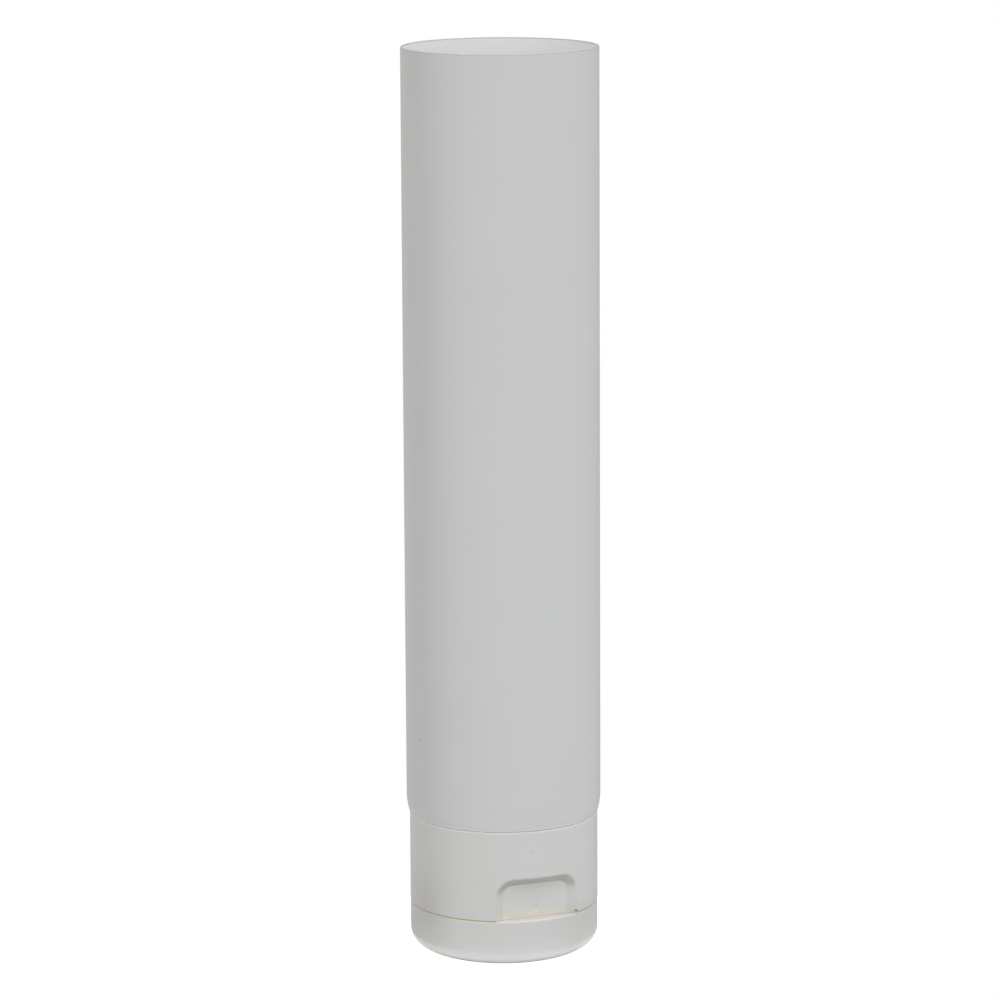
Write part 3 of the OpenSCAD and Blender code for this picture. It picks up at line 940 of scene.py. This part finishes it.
def hinge_pad(name, side):
    """Pad of one side of the seam: above it when side is 1, below it when side is -1. It is flat
    next to the seam, then slopes back into the wall."""
    wide = hinge_half + pad_flare
    wall_mid = cap_r - cap_wall / 2
    foot_out = math.sqrt(cap_r ** 2 - wide ** 2) - pad_sink
    slope = pad_ramp / (cap_r - math.sqrt(wall_mid ** 2 - wide ** 2))
    low = lid_gap / 2 + pad_gap
    rings = []
    for i in range(pad_steps + 1):
        x = wide * (2 * i / pad_steps - 1)
        past_film = max(abs(x) - hinge_half, 0) / pad_flare
        out = cap_r + (foot_out - cap_r) * past_film
        back = math.sqrt(wall_mid ** 2 - x ** 2)
        section = [(back, low), (out, low), (out, pad_h + (cap_r - out) * slope),
                   (back, pad_h + (cap_r - back) * slope)]
        rings.append([(x, y, seam_z + side * z) for y, z in section])
    return bridged(name, rings)


cap_body = joined([skirt, deck, collar, ribs, hinge_pad("body_pad", 1)], "cap_body_moulding")
cap_body.data.materials.append(cap_plastic)
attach(cap_body, "tube")
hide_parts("cap_body")

# Cap lid
# The hinged half of the cap and the foot that the tube stands on: a shallow cup with a rounded
# base edge, a plug for the spout's hole and a flat ledge under the thumb recess.
lid_edge_r = 2.8 * mm
lid_sole_r = 6.6 * mm
lid_base_t = 1.4 * mm
inner_edge = 3.2 * mm
edge_turn = math.radians(47)
lid_wall_rows = 4
edge_z = lid_sole_r - (lid_sole_r - lid_edge_r) * math.sin(edge_turn)
sole_x = cap_r - lid_edge_r - (lid_sole_r - lid_edge_r) * math.cos(edge_turn)
lid_outline = [(0, 0)]
lid_outline += arc(sole_x, lid_sole_r, lid_sole_r, -90, -math.degrees(edge_turn), steps=14)
lid_outline += arc(cap_r - lid_edge_r, edge_z, lid_edge_r, -math.degrees(edge_turn), 0, steps=12)[1:]
lid_wall_h = lid_top - cap_rim - edge_z
lid_outline += [(cap_r, edge_z + lid_wall_h * i / lid_wall_rows) for i in range(1, lid_wall_rows)]
lid_outline += arc(cap_r - cap_rim, lid_top - cap_rim, cap_rim, 0, 90, steps=8)
lid_outline += [(cap_in_r + edge, lid_top), (cap_in_r, lid_top - edge)]
lid_outline += arc(cap_in_r + bead_r - bead_out, lid_top - 2 * bead_r, bead_r, 140, 220, steps=6)
lid_outline += arc(cap_in_r - inner_edge, lid_base_t + inner_edge, inner_edge, 0, -90, steps=10)
lid_outline += [(0, lid_base_t)]
cup = turned("cup", lambda a: lid_outline, all_round(steps=256))

column_wall = 0.9 * mm
column_r = orifice_r + column_wall
column_top = 7.5 * mm
plug_root = 1.93 * mm
plug_tip = 1.63 * mm
plug_top = 9.3 * mm
column_low = lid_base_t - 0.2 * mm
plug_outline = rounded([
    (column_r, column_low, 0),
    (column_r, column_top, 0.2 * mm),
    (plug_root, column_top, 0.12 * mm),
    (plug_tip, plug_top, 0.3 * mm),
    (0, plug_top, 0),
    (0, plug_top - column_wall, 0),
    (plug_root - column_wall, plug_top - column_wall, 0.2 * mm),
    (orifice_r - column_wall, column_top, 0),
    (orifice_r, column_top - column_wall, 0),
    (orifice_r, column_low, 0),
], steps=4)
plug = turned("plug", lambda a: plug_outline, all_round(steps=96))

ledge_p = 15.45 * mm
ledge_t = 1.3 * mm
ledge_drop = 0.01 * mm
ledge_r = cap_r - cap_wall / 2
ledge_half = math.acos(ledge_p / ledge_r)
ledge_steps = 40
ledge_angles = [ledge_half * (2 * i / ledge_steps - 1) for i in range(ledge_steps + 1)]
ledge = bridged("ledge", [
    [(ledge_r * math.sin(a), -ledge_r * math.cos(a), z) for a in ledge_angles]
    for z in (lid_top - ledge_t, lid_top - ledge_drop)
])
lid = joined([cup, plug, ledge, hinge_pad("lid_pad", -1)], "cap_lid_moulding")
lid.data.materials.append(cap_plastic)
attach(lid, "lid")
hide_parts("cap_lid")

# Living hinge
# A thin film of the cap's own plastic joins the two pads. It is bent outwards when the lid is shut.
film_mid = 0.4 * mm
film_t = 0.3 * mm
film_steps = 16
film_in = film_mid - film_t / 2
film_out = film_mid + film_t / 2
film_rings = []
for step in range(film_steps + 1):
    t = math.pi * (0.5 - step / film_steps)
    film_rings.append([
        (x, cap_r + radius * math.cos(t), seam_z + radius * math.sin(t))
        for x, radius in ((-hinge_half, film_in), (hinge_half, film_in),
                          (hinge_half, film_out), (-hinge_half, film_out))
    ])
film = bridged("hinge_film", film_rings)
film.data.materials.append(cap_plastic)
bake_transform(film)

# Settings that the picture needs.
bpy.context.scene.view_settings.view_transform = "Standard"
